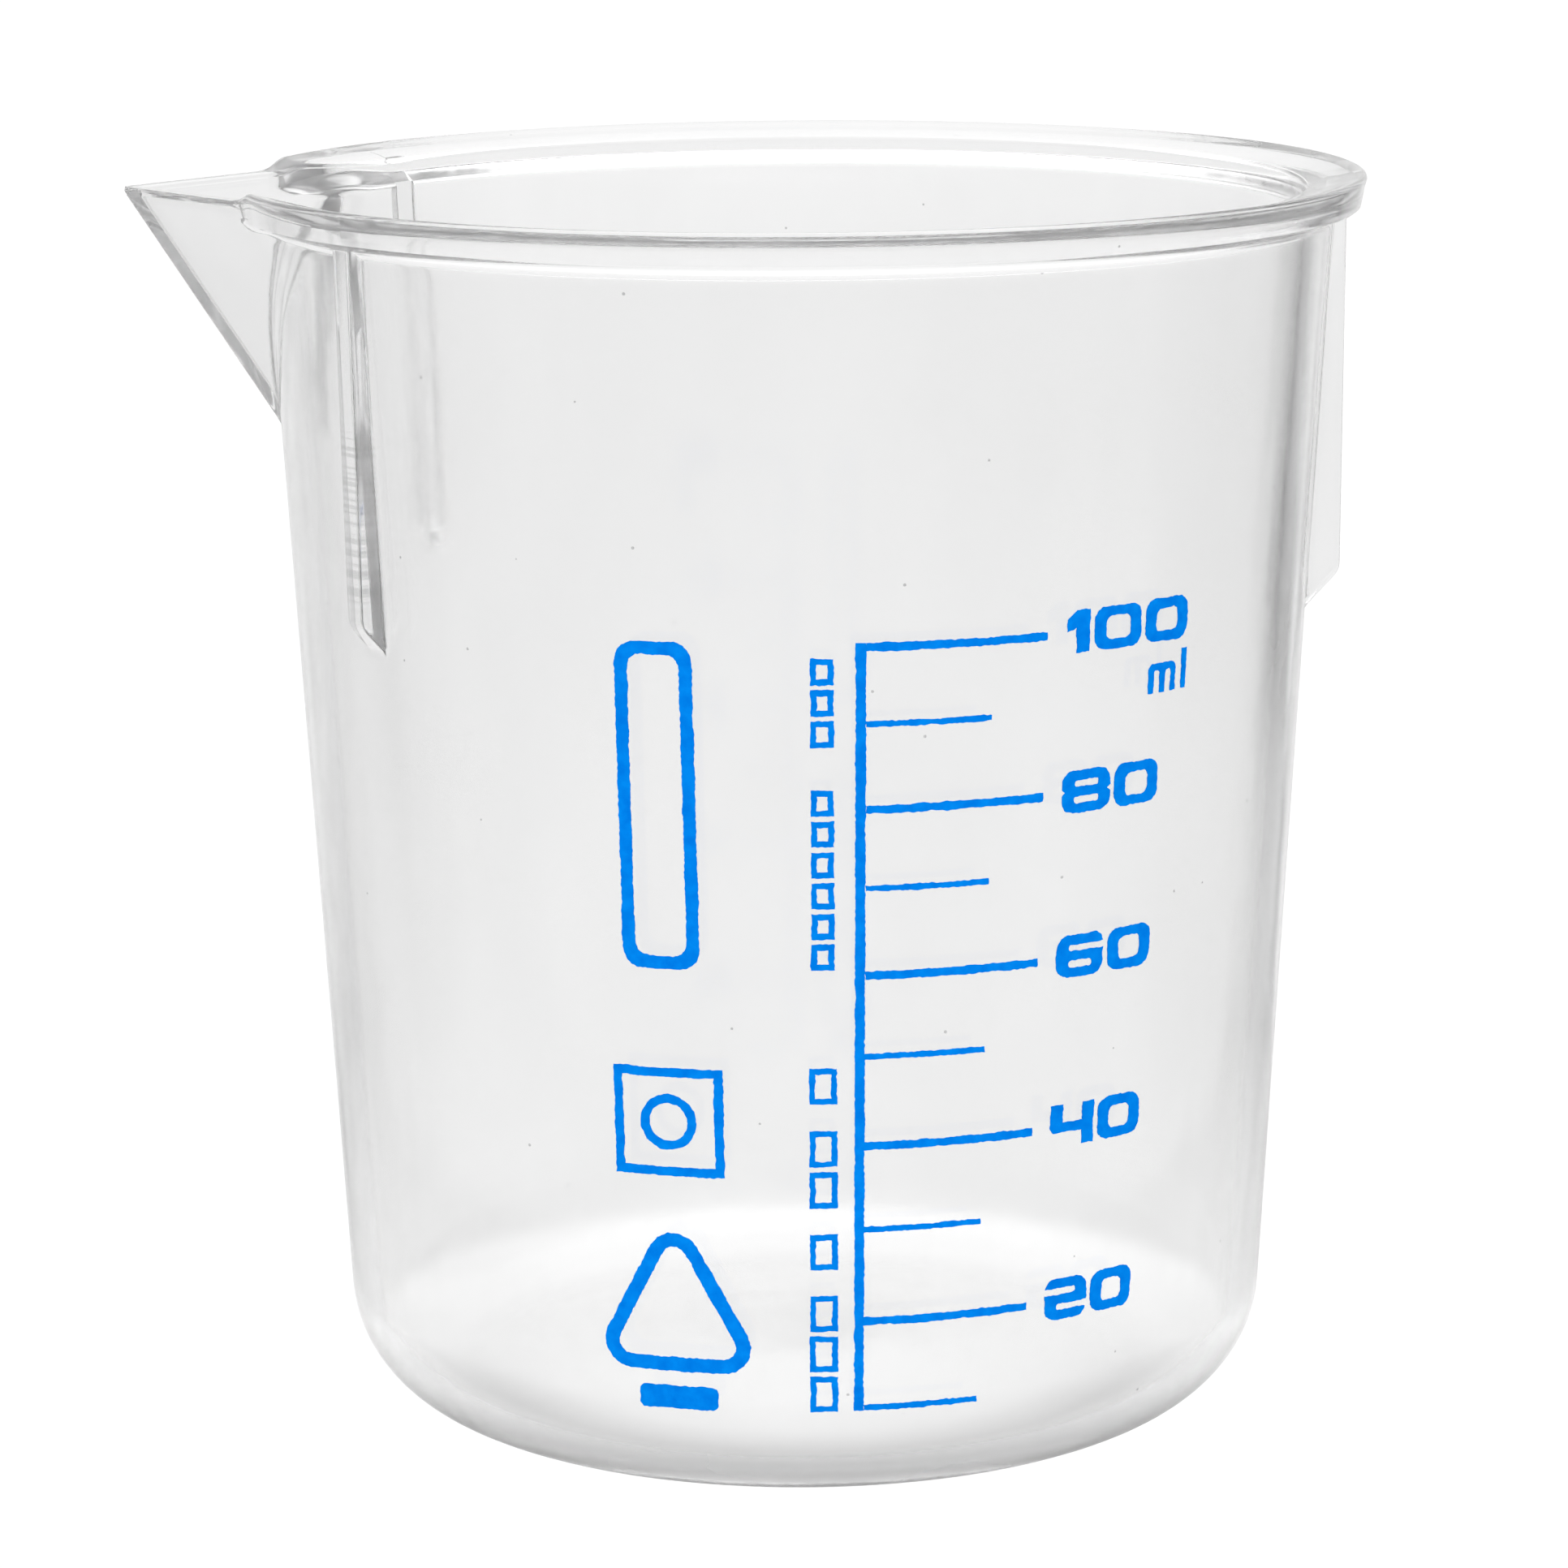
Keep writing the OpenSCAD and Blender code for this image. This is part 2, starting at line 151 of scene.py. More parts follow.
KEEL = Vector(
    (-(SPOUT_REACH - outer_r(SPOUT_ROOT_Z)), 0, SPOUT_TIP_Z - SPOUT_ROOT_Z)
)
SIDE = Vector(
    (math.cos(math.radians(SPOUT_HALF_ANGLE)), math.sin(math.radians(SPOUT_HALF_ANGLE)), 0)
)
SPOUT_NORMAL = SIDE.cross(KEEL).normalized()
if SPOUT_NORMAL.x > 0:
    SPOUT_NORMAL = -SPOUT_NORMAL
KEEL_ROUND = 0.25
SHARP_REACH = SPOUT_REACH + KEEL_ROUND * SPOUT_NORMAL.y / -SPOUT_NORMAL.x
SPOUT_OFFSET = SPOUT_NORMAL.dot(Vector((-SHARP_REACH, 0, SPOUT_TIP_Z)))
CHANNEL_ROUND = 0.25
# degrees to each side of the keel that the spout can reach
SPOUT_WINDOW = 36.0
# how far below its root, and how far inside the wall, the spout is still blended in
SPOUT_BELOW = 3
SPOUT_INSIDE = 1
OUTSIDE_BLEND = 0.35
INSIDE_BLEND = 0.5
LIP_SLOPE = 0.8
EDGE_BLEND_H = 4


def spout_r(azimuth, z, inset, rounding):
    """Radius of the spout's side at an azimuth and height, or 0 away from the spout."""
    off = angle_from(SPOUT_AZIMUTH, azimuth)
    if abs(off) > SPOUT_WINDOW:
        return 0.0
    turn = math.radians(off)
    across = math.hypot(math.sin(turn), rounding / SPOUT_REACH)
    facing = -SPOUT_NORMAL.x * math.cos(turn) + SPOUT_NORMAL.y * across
    reach = SPOUT_OFFSET - inset - SPOUT_NORMAL.z * z
    return max(reach / facing, 0.0)


def meets_spout(r, z, reach):
    return reach > r - SPOUT_INSIDE and z > SPOUT_ROOT_Z - SPOUT_BELOW


def fin_push(azimuth, z):
    """How far a fin pushes the wall's outside out."""
    for fin_azimuth, top_r, low_r, low_z in FINS:
        side = abs(angle_from(fin_azimuth, azimuth)) / FIN_HALF_ANGLE
        if side > FIN_EDGE[-1][0]:
            continue
        along = (z - low_z) / (RIM_LOW_Z - low_z)
        edge = low_r + (top_r - low_r) * along
        chamfer = low_r + (z - low_z) / FIN_CHAMFER
        push = smooth_min(edge, chamfer, FIN_CORNER_ROUND) - outer_r(z)
        return max(push, 0.0) * fin_share(side)
    return 0.0


# share of the full height of a fin against the distance from its middle, in half thicknesses
FIN_EDGE = (
    (0.0, 1.0),
    (0.55, 1.0),
    (0.82, 1.0),
    (0.91, 0.975),
    (0.97, 0.9),
    (1.0, 0.72),
    (1.02, 0.14),
    (1.1, 0.03),
    (1.25, 0.0),
)


def fin_share(side):
    for (s0, f0), (s1, f1) in zip(FIN_EDGE, FIN_EDGE[1:]):
        if side <= s1:
            return f0 + (f1 - f0) * (side - s0) / (s1 - s0)
    return 0.0


# ---- The vessel's grid ----

PLAIN_COLUMNS = 180
# degrees to each side of the keel that hold close columns, and how many
SPOUT_SPAN = 34
SPOUT_COLUMNS = 68
# and degrees from the keel to a few more
KEEL_COLUMNS = [0.12, 0.25, 0.38, 0.75]
# half widths of a fin that hold no plain columns
FIN_CLEARANCE = 1.3

# radius of the innermost ring of the underside and of the floor
CENTRE_R = 2
UNDERSIDE_STEPS = 7
# distances from the recess's edge to the rings before and after it
RECESS_STEPS = (1, 0.7)
CORNER_STEPS = 20
INSIDE_CORNER_STEPS = 18
FLOOR_STEP = 3
# runs of wall rows as first height, last height and steps
LOW_ROWS = (9, 42, 9)
MIDDLE_ROWS = (49.5, 54, 3)
SPOUT_ROWS = (55, FILLET_Z, 26)
INSIDE_TOP_ROWS = (INNER_EDGE_Z - INNER_EDGE_R, 55, 30)
INSIDE_LOW_ROWS = (50, 9, 8)
# rows around the two ends of a fin's chamfer
CHAMFER_SHARE = 0.96
CHAMFER_FOOT_ROWS = (-0.3, 0, 0.2)
CHAMFER_TOP_ROWS = (-0.4, -0.2, 0, 0.2, 0.4)
# arcs as first angle, last angle and steps
FILLET_ARC = (180, 105, 6)
RIM_EDGE_END = 95
RIM_EDGE_STEPS = 6
INNER_EDGE_ARC = (95, 170, 3)
RIM_UNDER_BEVEL = (0.12, 0.05)
RIM_FACE_ROWS = (0.3, 0.6)


def column_azimuths():
    """Azimuths of the grid's columns: close together at the spout and at the fins' edges."""
    plain = spread(0, 360, PLAIN_COLUMNS)[:-1]
    columns = [a for a in plain if abs(angle_from(SPOUT_AZIMUTH, a)) > SPOUT_SPAN]
    offsets = spread(0, SPOUT_SPAN, SPOUT_COLUMNS) + KEEL_COLUMNS
    columns += [SPOUT_AZIMUTH + side * offset for offset in offsets for side in (-1, 1)]
    for middle, *_ in FINS:
        clear = FIN_CLEARANCE * FIN_HALF_ANGLE
        columns = [a for a in columns if abs(angle_from(middle, a)) > clear]
        columns += [middle + side * at * FIN_HALF_ANGLE for at, _ in FIN_EDGE for side in (-1, 1)]
    return sorted({round(a % 360, 4) for a in columns})


def underside_z(r):
    return RECESS_DEPTH * (1 - r / RECESS_R)


def fin_rows():
    """Heights of the rows that follow the chamfers at the fins' lower ends."""
    rows = []
    for _, _, low_r, low_z in FINS[:2]:
        foot_z = low_z - (low_r - outer_r(low_z)) * FIN_CHAMFER * CHAMFER_SHARE
        rows += [foot_z + step for step in CHAMFER_FOOT_ROWS] + [(foot_z + low_z) / 2]
        rows += [low_z + step for step in CHAMFER_TOP_ROWS]
    return sorted({round(z, 2) for z in rows})


def outside_rows():
    """Points (r, z) of the outside, from the foot's centre to the rim's outer edge."""
    before, after = RECESS_STEPS
    rises = spread(CENTRE_R, RECESS_R - before, UNDERSIDE_STEPS) + [RECESS_R]
    foot = [(r, underside_z(r)) for r in rises] + [(RECESS_R + after, 0)]
    corner_r = corner_centre(WALL_FOOT_R, CORNER_R, 0)
    corner = arc(corner_r, CORNER_R, CORNER_R, -90, -math.degrees(LEAN), CORNER_STEPS)
    heights = spread(*LOW_ROWS) + fin_rows() + spread(*MIDDLE_ROWS) + spread(*SPOUT_ROWS)
    wall = [(outer_r(z), z) for z in heights]
    fillet = arc(outer_r(FILLET_Z) + RIM_FILLET_R, FILLET_Z, RIM_FILLET_R, *FILLET_ARC)[1:]
    under_r = RIM_R - RIM_FACE_LEAN
    bevel_r, bevel_z = RIM_UNDER_BEVEL
    under = [(under_r - bevel_r, RIM_LOW_Z - bevel_z), (under_r, RIM_LOW_Z + bevel_z)]
    face = [(under_r + RIM_FACE_LEAN * t, RIM_LOW_Z + RIM_FACE_H * t) for t in RIM_FACE_ROWS]
    edge = arc(
        RIM_R - RIM_EDGE_R,
        HEIGHT - RIM_EDGE_R,
        RIM_EDGE_R,
        -math.degrees(math.atan(RIM_FACE_LEAN / RIM_FACE_H)),
        RIM_EDGE_END,
        RIM_EDGE_STEPS,
    )
    return foot + corner + wall + fillet + under + face + edge


def inside_rows():
    """Points (r, z) of the inside, from the rim's inner edge to the floor's centre."""
    r = CORNER_R - WALL_T
    centre = corner_centre(inner_r(0), r, FLOOR_T)
    heights = spread(*INSIDE_TOP_ROWS) + spread(*INSIDE_LOW_ROWS)
    corner = arc(centre, FLOOR_T + r, r, -math.degrees(LEAN), -90, INSIDE_CORNER_STEPS)
    floor = [(floor_r, FLOOR_T) for floor_r in (centre - FLOOR_STEP, centre / 2, CENTRE_R)]
    return [(inner_r(z), z) for z in heights] + corner + floor


TOP_STEPS = (0.2, 0.4, 0.6, 0.8)
LIP_MERGE = (31.2, 32.4)


def lip_share(azimuth):
    """0 on the rim's flange, 1 on the spout's thin lip."""
    return smooth_step(*LIP_MERGE, spout_r(azimuth, SPOUT_TIP_Z, 0, KEEL_ROUND))


def dish_z(r):
    return HEIGHT - RIM_DISH * (RIM_R - r) / (RIM_R - inner_r(INNER_EDGE_Z))


def outside_point(azimuth, r, z):
    share = lip_share(azimuth)
    if z > RIM_LOW_Z:
        low = RIM_LOW_Z + (z - RIM_LOW_Z) * (SPOUT_TIP_Z - RIM_LOW_Z) / RIM_FACE_H
        z += (low - z) * share
    push = fin_push(azimuth, z) if FLOOR_T < z < RIM_LOW_Z else 0.0
    if push:
        r = smooth_max(r, outer_r(z) + push, FIN_FILLET)
    reach = spout_r(azimuth, min(z, SPOUT_TIP_Z), 0, KEEL_ROUND)
    if meets_spout(r, z, reach):
        round_over = max(z - (SPOUT_TIP_Z - RIM_EDGE_R), 0) * LIP_SLOPE * share
        r = smooth_max(r, reach - round_over, OUTSIDE_BLEND)
    return r, z


def inside_point(azimuth, r, z):
    share = lip_share(azimuth)
    reach = spout_r(azimuth, min(z, SPOUT_TIP_Z), SPOUT_WALL_T, CHANNEL_ROUND)
    edge_z = inner_edge(azimuth)[1]
    z += (edge_z - INNER_EDGE_Z) * smooth_step(INNER_EDGE_Z - EDGE_BLEND_H, INNER_EDGE_Z, z)
    if meets_spout(r, z, reach):
        r = smooth_max(r, reach, INSIDE_BLEND)
    return r, z


def inner_edge(azimuth):
    reach = spout_r(azimuth, SPOUT_TIP_Z, SPOUT_WALL_T, CHANNEL_ROUND)
    r = smooth_max(inner_r(INNER_EDGE_Z), reach, INSIDE_BLEND)
    share = lip_share(azimuth)
    return r, dish_z(r) * (1 - share) + SPOUT_TIP_Z * share


def top_points(azimuth, outer):
    """Points of the top face between the outer edge and the rounded inner edge."""
    inner_edge_r, inner_z = inner_edge(azimuth)
    share = lip_share(azimuth)
    points = []
    for t in TOP_STEPS:
        r = outer[0] + (inner_edge_r + INNER_EDGE_R - outer[0]) * t
        z = dish_z(r) * (1 - share) + SPOUT_TIP_Z * share
        points.append((r, z))
    centre = (inner_edge_r + INNER_EDGE_R, inner_z - INNER_EDGE_R)
    return points + arc(*centre, INNER_EDGE_R, *INNER_EDGE_ARC)


def vessel_mesh():
    """The closed skin of the whole moulding."""
    columns = column_azimuths()
    outside = outside_rows()
    inside = inside_rows()
    mesh = bmesh.new()
    strips = []
    for azimuth in columns:
        points = [outside_point(azimuth, r, z) for r, z in outside]
        points += top_points(azimuth, points[-1])
        points += [inside_point(azimuth, r, z) for r, z in inside]
        turn = math.radians(azimuth)
        strips.append(
            [
                mesh.verts.new((r * math.cos(turn) * MM, r * math.sin(turn) * MM, z * MM))
                for r, z in points
            ]
        )
    below = mesh.verts.new((0, 0, RECESS_DEPTH * MM))
    floor = mesh.verts.new((0, 0, FLOOR_T * MM))
    for strip, following in zip(strips, strips[1:] + strips[:1]):
        for i in range(len(strip) - 1):
            mesh.faces.new((strip[i], following[i], following[i + 1], strip[i + 1]))
        mesh.faces.new((below, following[0], strip[0]))
        mesh.faces.new((floor, strip[-1], following[-1]))
    data = bpy.data.meshes.new("vessel")
    mesh.to_mesh(data)
    mesh.free()
    return data


def smooth_by_angle(data, degrees):
    for polygon in data.polygons:
        polygon.use_smooth = True
    data.set_sharp_from_angle(angle=math.radians(degrees))


def add_piece(name, data, material):
    piece = bpy.data.objects.new(name, data)
    bpy.context.scene.collection.objects.link(piece)
    data.materials.append(material)
    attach(piece, "root")
    return piece


# ---- Ink: the outlines of the CAD marks, with ragged edges ----

INK_GAP = 0.01
INK_T = 0.05
EDGE_STEP = 0.09
# neighbours nearer than this share of a step are merged, so that no edge crosses itself
CLOSEST = 0.5
# how far an edge wanders, and how many times per millimetre
RAGGED = ((0.05, 1.2), (0.05, 5.0))
SEED_STEP = 7.3
# vertices nearer than this are one, in metres for CAD meshes and in millimetres for outlines
SAME_PLACE = 1e-6
FILL_EPSILON = 1e-4
# least dot product of an ink film's outer faces with the outward direction
FACES_OUT = 0.9


def outline_loops(node):
    """The closed outlines of a printed mark, as (azimuth, z) in radians and millimetres."""
    mesh = bmesh.new()
    mesh.from_mesh(node.data)
    mesh.transform(node.matrix_world)
    bmesh.ops.remove_doubles(mesh, verts=mesh.verts[:], dist=SAME_PLACE)
    mesh.normal_update()
    hidden = []
    for face in mesh.faces:
        middle = face.calc_center_median()
        outwards = Vector((middle.x, middle.y, 0)).normalized()
        if face.normal.dot(outwards) < FACES_OUT:
            hidden.append(face)
    bmesh.ops.delete(mesh, geom=hidden, context="FACES")
    edges = {e for e in mesh.edges if len(e.link_faces) == 1}
    loops = []
    while edges:
        edge = edges.pop()
        start, vert = edge.verts
        loop = [start, vert]
        while vert != start:
            edge = next(e for e in vert.link_edges if e in edges)
            edges.discard(edge)
            vert = edge.other_vert(vert)
            loop.append(vert)
        loops.append([(math.atan2(v.co.y, v.co.x), v.co.z / MM) for v in loop[:-1]])
    mesh.free()
    return sorted(in_order(loop) for loop in loops)


def in_order(loop):
    """The loop turned one way round and begun at one place, however it was walked."""
    sides = zip(loop, loop[1:] + loop[:1])
    if sum(a0 * z1 - a1 * z0 for (a0, z0), (a1, z1) in sides) < 0:
        loop = loop[::-1]
    first = loop.index(min(loop))
    return loop[first:] + loop[:first]


def ragged(loop, seed):
    """The loop in evenly spaced short steps, each moved a little to and fro."""
    flat = [Vector((a * outer_r(z), z)) for a, z in loop]
    points = []
    for here, there in zip(flat, flat[1:] + flat[:1]):
        steps = max(1, round((there - here).length / EDGE_STEP))
        points += [here.lerp(there, i / steps) for i in range(steps)]
    moved = []
    for i, p in enumerate(points):
        along = points[(i + 1) % len(points)] - points[i - 1]
        if along.length < SAME_PLACE:
            continue
        side = Vector((along.y, -along.x)).normalized()
        push = sum(
            size * noise.noise(Vector((p.x * pitch, p.y * pitch, seed))) for size, pitch in RAGGED
        )
        place = p + side * push
        if not moved or (place - moved[-1]).length > CLOSEST * EDGE_STEP:
            moved.append(place)
    return moved


def is_inked(point, loops):
    """Whether a point lies inside an odd number of loops."""
    inked = False
    for loop in loops:
        for here, there in zip(loop, loop[1:] + loop[:1]):
            if (here.y > point.y) != (there.y > point.y):
                share = (point.y - here.y) / (there.y - here.y)
                if point.x < here.x + share * (there.x - here.x):
                    inked = not inked
    return inked


def ink_mesh(name, loops):
    """Fills the loops, holes left open, gives them a thickness and lays them on the wall."""
    points, edges = [], []
    for loop in loops:
        first = len(points)
        points += loop
        edges += [(first + i, first + (i + 1) % len(loop)) for i in range(len(loop))]
    flat, _, filled, *_ = delaunay_2d_cdt(points, edges, [], 0, FILL_EPSILON)
    triangles = []
    for corners in filled:
        middle = sum((flat[i] for i in corners), Vector((0, 0))) / 3
        if is_inked(middle, loops):
            triangles.append(corners)
    mesh = bmesh.new()
    sheets = []
    for depth in (INK_GAP, INK_GAP + INK_T):
        sheet = []
        for p in flat:
            r, turn = outer_r(p.y) + depth, p.x / outer_r(p.y)
            sheet.append(mesh.verts.new(Vector((r * math.cos(turn), r * math.sin(turn), p.y)) * MM))
        sheets.append(sheet)
    back, front = sheets
    directed = {(t[i], t[(i + 1) % 3]) for t in triangles for i in range(3)}
    for a, b, c in triangles:
        mesh.faces.new((front[a], front[b], front[c]))
        mesh.faces.new((back[c], back[b], back[a]))
    for a, b in sorted(directed):
        if (b, a) not in directed:
            mesh.faces.new((front[b], front[a], back[a], back[b]))
    data = bpy.data.meshes.new(name)
    mesh.to_mesh(data)
    mesh.free()
    return data


# ---- Materials ----


def new_material(name):
    """A material with a Principled shader, and that shader."""
    material = bpy.data.materials.new(name)
    material.use_nodes = True
    nodes = material.node_tree.nodes
    nodes.clear()
    shader = nodes.new("ShaderNodeBsdfPrincipled")
    output = nodes.new("ShaderNodeOutputMaterial")
    material.node_tree.links.new(shader.outputs["BSDF"], output.inputs["Surface"])
    return material, shader


def add_noise(material, scale, detail, stretch=(1, 1, 1)):
    """A noise pattern fixed to the object, with a scale per metre."""
    nodes, links = material.node_tree.nodes, material.node_tree.links
    place = nodes.new("ShaderNodeTexCoord")
    mapping = nodes.new("ShaderNodeMapping")
    mapping.inputs["Scale"].default_value = stretch
    texture = nodes.new("ShaderNodeTexNoise")
    texture.inputs["Scale"].default_value = scale
    texture.inputs["Detail"].default_value = detail
    links.new(place.outputs["Object"], mapping.inputs["Vector"])
    links.new(mapping.outputs["Vector"], texture.inputs["Vector"])
    return texture.outputs["Fac"]


def map_range(material, value, old, new):
    """The value with one range, as its ends, turned into another and cut off there."""
    nodes, links = material.node_tree.nodes, material.node_tree.links
    node = nodes.new("ShaderNodeMapRange")
    node.inputs["From Min"].default_value, node.inputs["From Max"].default_value = old
    node.inputs["To Min"].default_value, node.inputs["To Max"].default_value = new
    links.new(value, node.inputs["Value"])
    return node.outputs["Result"]


def add_bump(material, height, distance, strength=None):
    """Bumps as deep as a distance in metres, with a socket that can weaken them."""
    nodes, links = material.node_tree.nodes, material.node_tree.links
    bump = nodes.new("ShaderNodeBump")
    bump.inputs["Distance"].default_value = distance
    bump.inputs["Strength"].default_value = 1.0
    links.new(height, bump.inputs["Height"])
    if strength is not None:
        links.new(strength, bump.inputs["Strength"])
    return bump.outputs["Normal"]


SPECK_SOFTNESS = 1.2


def add_specks(material, scale, radius, grey):
    """White with small round grey specks, with a scale per metre and a radius in cells."""
    tree = material.node_tree
    texture = tree.nodes.new("ShaderNodeTexVoronoi")
    texture.inputs["Scale"].default_value = scale
    tree.links.new(add_coordinates(tree, "Object"), texture.inputs["Vector"])
    rim = (radius, SPECK_SOFTNESS * radius)
    return map_range(material, texture.outputs["Distance"], rim, (grey, 1.0))


def along_fin_edge(material, fin_azimuth, fin_r, low_z, high_z):
    """1 on a fin's outer edge between two heights, 0 elsewhere, with lengths in millimetres."""
    tree = material.node_tree
    turn = math.radians(fin_azimuth)
    place = add_coordinates(tree, "Object")
    flat = tree.nodes.new("ShaderNodeVectorMath")
    flat.operation = "MULTIPLY"
    flat.inputs[1].default_value = (1, 1, 0)
    tree.links.new(place, flat.inputs[0])
    away = tree.nodes.new("ShaderNodeVectorMath")
    away.operation = "DISTANCE"
    away.inputs[1].default_value = Vector((math.cos(turn), math.sin(turn), 0)) * fin_r * MM
    tree.links.new(flat.outputs["Vector"], away.inputs[0])
    near = map_range(material, away.outputs["Value"], RIDGE_SHADE_REACH, (1.0, 0.0))
    height = add_axes(tree, place)["Z"]
    above = map_range(material, height, (low_z * MM, (low_z + RIDGE_SHADE_FADE) * MM), (0.0, 1.0))
    below = map_range(material, height, ((high_z - RIDGE_SHADE_FADE) * MM, high_z * MM), (1.0, 0.0))
    return add_math(tree, "MULTIPLY", near, add_math(tree, "MULTIPLY", above, below))


PLASTIC_IOR = 1.463
HAZE_PER_METRE = 2.0
# specks of dust: cells per metre, radius in cells, and grey
SPECKS = (300, 0.024, 0.4)
# painted shade of fine ridges on one fin's outer edge: its azimuth and radius, and the shade's
# heights
RIDGE_SHADE_FIN = (217, 30.2, 48.5, 59)
RIDGE_SHADE_FADE = 1
# metres from the middle of the fin's edge at which the painted ridge shade fades out
RIDGE_SHADE_REACH = (1.2 * MM, 1.6 * MM)
# noise patterns as scale per metre, detail and stretch
RIDGE_SHADE_NOISE = (1, 2, (60, 60, 4200))
CLOUDS_NOISE = (90, 8, (1, 1, 0.6))
RUB_NOISE = (900, 6, (1, 1, 0.35))
WAVES_NOISE = (220, 1, (1, 1, 0.12))
# ranges of those patterns, and what they become
# the ridges darken the plastic's colour: this darkening is painted shade
RIDGE_PAINTED_SHADE = ((0.46, 0.56), (0.0, 0.3))
CLOUDS_CLARITY = ((0.3, 0.7), (0.995, 0.935))
RUB_ROUGHNESS = ((0.35, 0.75), (0.05, 0.12))
# the waves' depth in metres, and where they weaken towards the foot and the spout
WAVES_DEPTH = 0.00004
WAVES_ABOVE_FOOT = ((0.006, 0.014), (0.1, 1.0))
WAVES_BEHIND_SPOUT = ((-0.033, -0.031), (0.1, 1.0))


def clear_plastic():
    """Slightly hazy plastic with faint clouds, waves, specks and painted shade of ridges on one
    fin.
    """
    material, shader = new_material("clear_plastic")
    tree = material.node_tree
    nodes, links = tree.nodes, tree.links
    output = next(n for n in nodes if n.type == "OUTPUT_MATERIAL")
    haze = nodes.new("ShaderNodeVolumeAbsorption")
    haze.inputs["Color"].default_value = (0.0, 0.0, 0.0, 1)
    haze.inputs["Density"].default_value = HAZE_PER_METRE
    links.new(haze.outputs["Volume"], output.inputs["Volume"])
    shader.inputs["IOR"].default_value = PLASTIC_IOR
    specks = add_specks(material, *SPECKS)
    # painted shade: dark ridge lines taken off the plastic's colour along one fin's edge
    ridge_painted_shade = map_range(material, add_noise(material, *RIDGE_SHADE_NOISE), *RIDGE_PAINTED_SHADE)
    fin_ridge_painted_shade = add_math(tree, "MULTIPLY", ridge_painted_shade, along_fin_edge(material, *RIDGE_SHADE_FIN))
    links.new(add_math(tree, "SUBTRACT", specks, fin_ridge_painted_shade), shader.inputs["Base Color"])
    clarity = map_range(material, add_noise(material, *CLOUDS_NOISE), *CLOUDS_CLARITY)
    links.new(clarity, shader.inputs["Transmission Weight"])
    rubbed = map_range(material, add_noise(material, *RUB_NOISE), *RUB_ROUGHNESS)
    links.new(rubbed, shader.inputs["Roughness"])
    waves = add_noise(material, *WAVES_NOISE)
    axes = add_axes(tree, add_coordinates(tree, "Object"))
    above_foot = map_range(material, axes["Z"], *WAVES_ABOVE_FOOT)
    behind_spout = map_range(material, axes["X"], *WAVES_BEHIND_SPOUT)
    wavy = add_math(tree, "MULTIPLY", above_foot, behind_spout)
    links.new(add_bump(material, waves, WAVES_DEPTH, wavy), shader.inputs["Normal"])
    return material


# stops of the ink's mottle, as the pattern's value and the colour there
INK_COLOURS = ((0.3, (0.0, 0.195, 0.79, 1)), (0.75, (0.001, 0.27, 0.92, 1)))
INK_MOTTLE = (1500, 4)
INK_GRAIN = (4000, 2)
INK_GRAIN_DEPTH = 0.00002


def blue_ink():
    material, shader = new_material("blue_ink")
    nodes, links = material.node_tree.nodes, material.node_tree.links
    ramp = nodes.new("ShaderNodeValToRGB")
    for element, (position, colour) in zip(ramp.color_ramp.elements, INK_COLOURS):
        element.position = position
        element.color = colour
    links.new(add_noise(material, *INK_MOTTLE), ramp.inputs["Fac"])
    links.new(ramp.outputs["Color"], shader.inputs["Base Color"])
    shader.inputs["Roughness"].default_value = 0.5
    shader.inputs["Specular IOR Level"].default_value = 0.0
    grain = add_noise(material, *INK_GRAIN)
    links.new(add_bump(material, grain, INK_GRAIN_DEPTH), shader.inputs["Normal"])
    return material


# ---- Stage: a white table and a white surround ----
#
# Both are white to the camera. The plastic sees them as a pale backdrop whose sides are
# darker, with a soft light above, and a table with the shadow of the beaker's foot on it.


def add_math(tree, operation, first, second):
    """A maths node on a socket and a second socket or a number."""
    node = tree.nodes.new("ShaderNodeMath")
    node.operation = operation
    tree.links.new(first, node.inputs[0])
    if isinstance(second, (int, float)):
        node.inputs[1].default_value = second
    else:
        tree.links.new(second, node.inputs[1])
    return node.outputs[0]


def add_vector_math(tree, operation, first, output):
    node = tree.nodes.new("ShaderNodeVectorMath")
    node.operation = operation
    tree.links.new(first, node.inputs[0])
    return node.outputs[output]


def add_axes(tree, vector):
    node = tree.nodes.new("ShaderNodeSeparateXYZ")
    tree.links.new(vector, node.inputs[0])
    return node.outputs


def add_coordinates(tree, kind):
    return tree.nodes.new("ShaderNodeTexCoord").outputs[kind]


def grey_ramp(tree, value, stops):
    """A brightness that follows stops of (value, brightness)."""
    low, high = stops[0][0], stops[-1][0]
    most = max(grey for _, grey in stops)
    spread_out = tree.nodes.new("ShaderNodeMapRange")
    spread_out.inputs["From Min"].default_value = low
    spread_out.inputs["From Max"].default_value = high
    tree.links.new(value, spread_out.inputs["Value"])
    node = tree.nodes.new("ShaderNodeValToRGB")
    tree.links.new(spread_out.outputs["Result"], node.inputs["Fac"])
    ramp = node.color_ramp
    ramp.elements[0].color = (stops[0][1] / most,) * 3 + (1,)
    ramp.elements[1].color = (stops[-1][1] / most,) * 3 + (1,)
    for at, grey in stops[1:-1]:
        ramp.elements.new((at - low) / (high - low)).color = (grey / most,) * 3 + (1,)
    return add_math(tree, "MULTIPLY", node.outputs["Color"], most)


def blend(tree, share, first, second):
    """The first brightness where the share is 0, the second where it is 1."""
    more = add_math(tree, "SUBTRACT", second, first)
    return add_math(tree, "ADD", add_math(tree, "MULTIPLY", more, share), first)


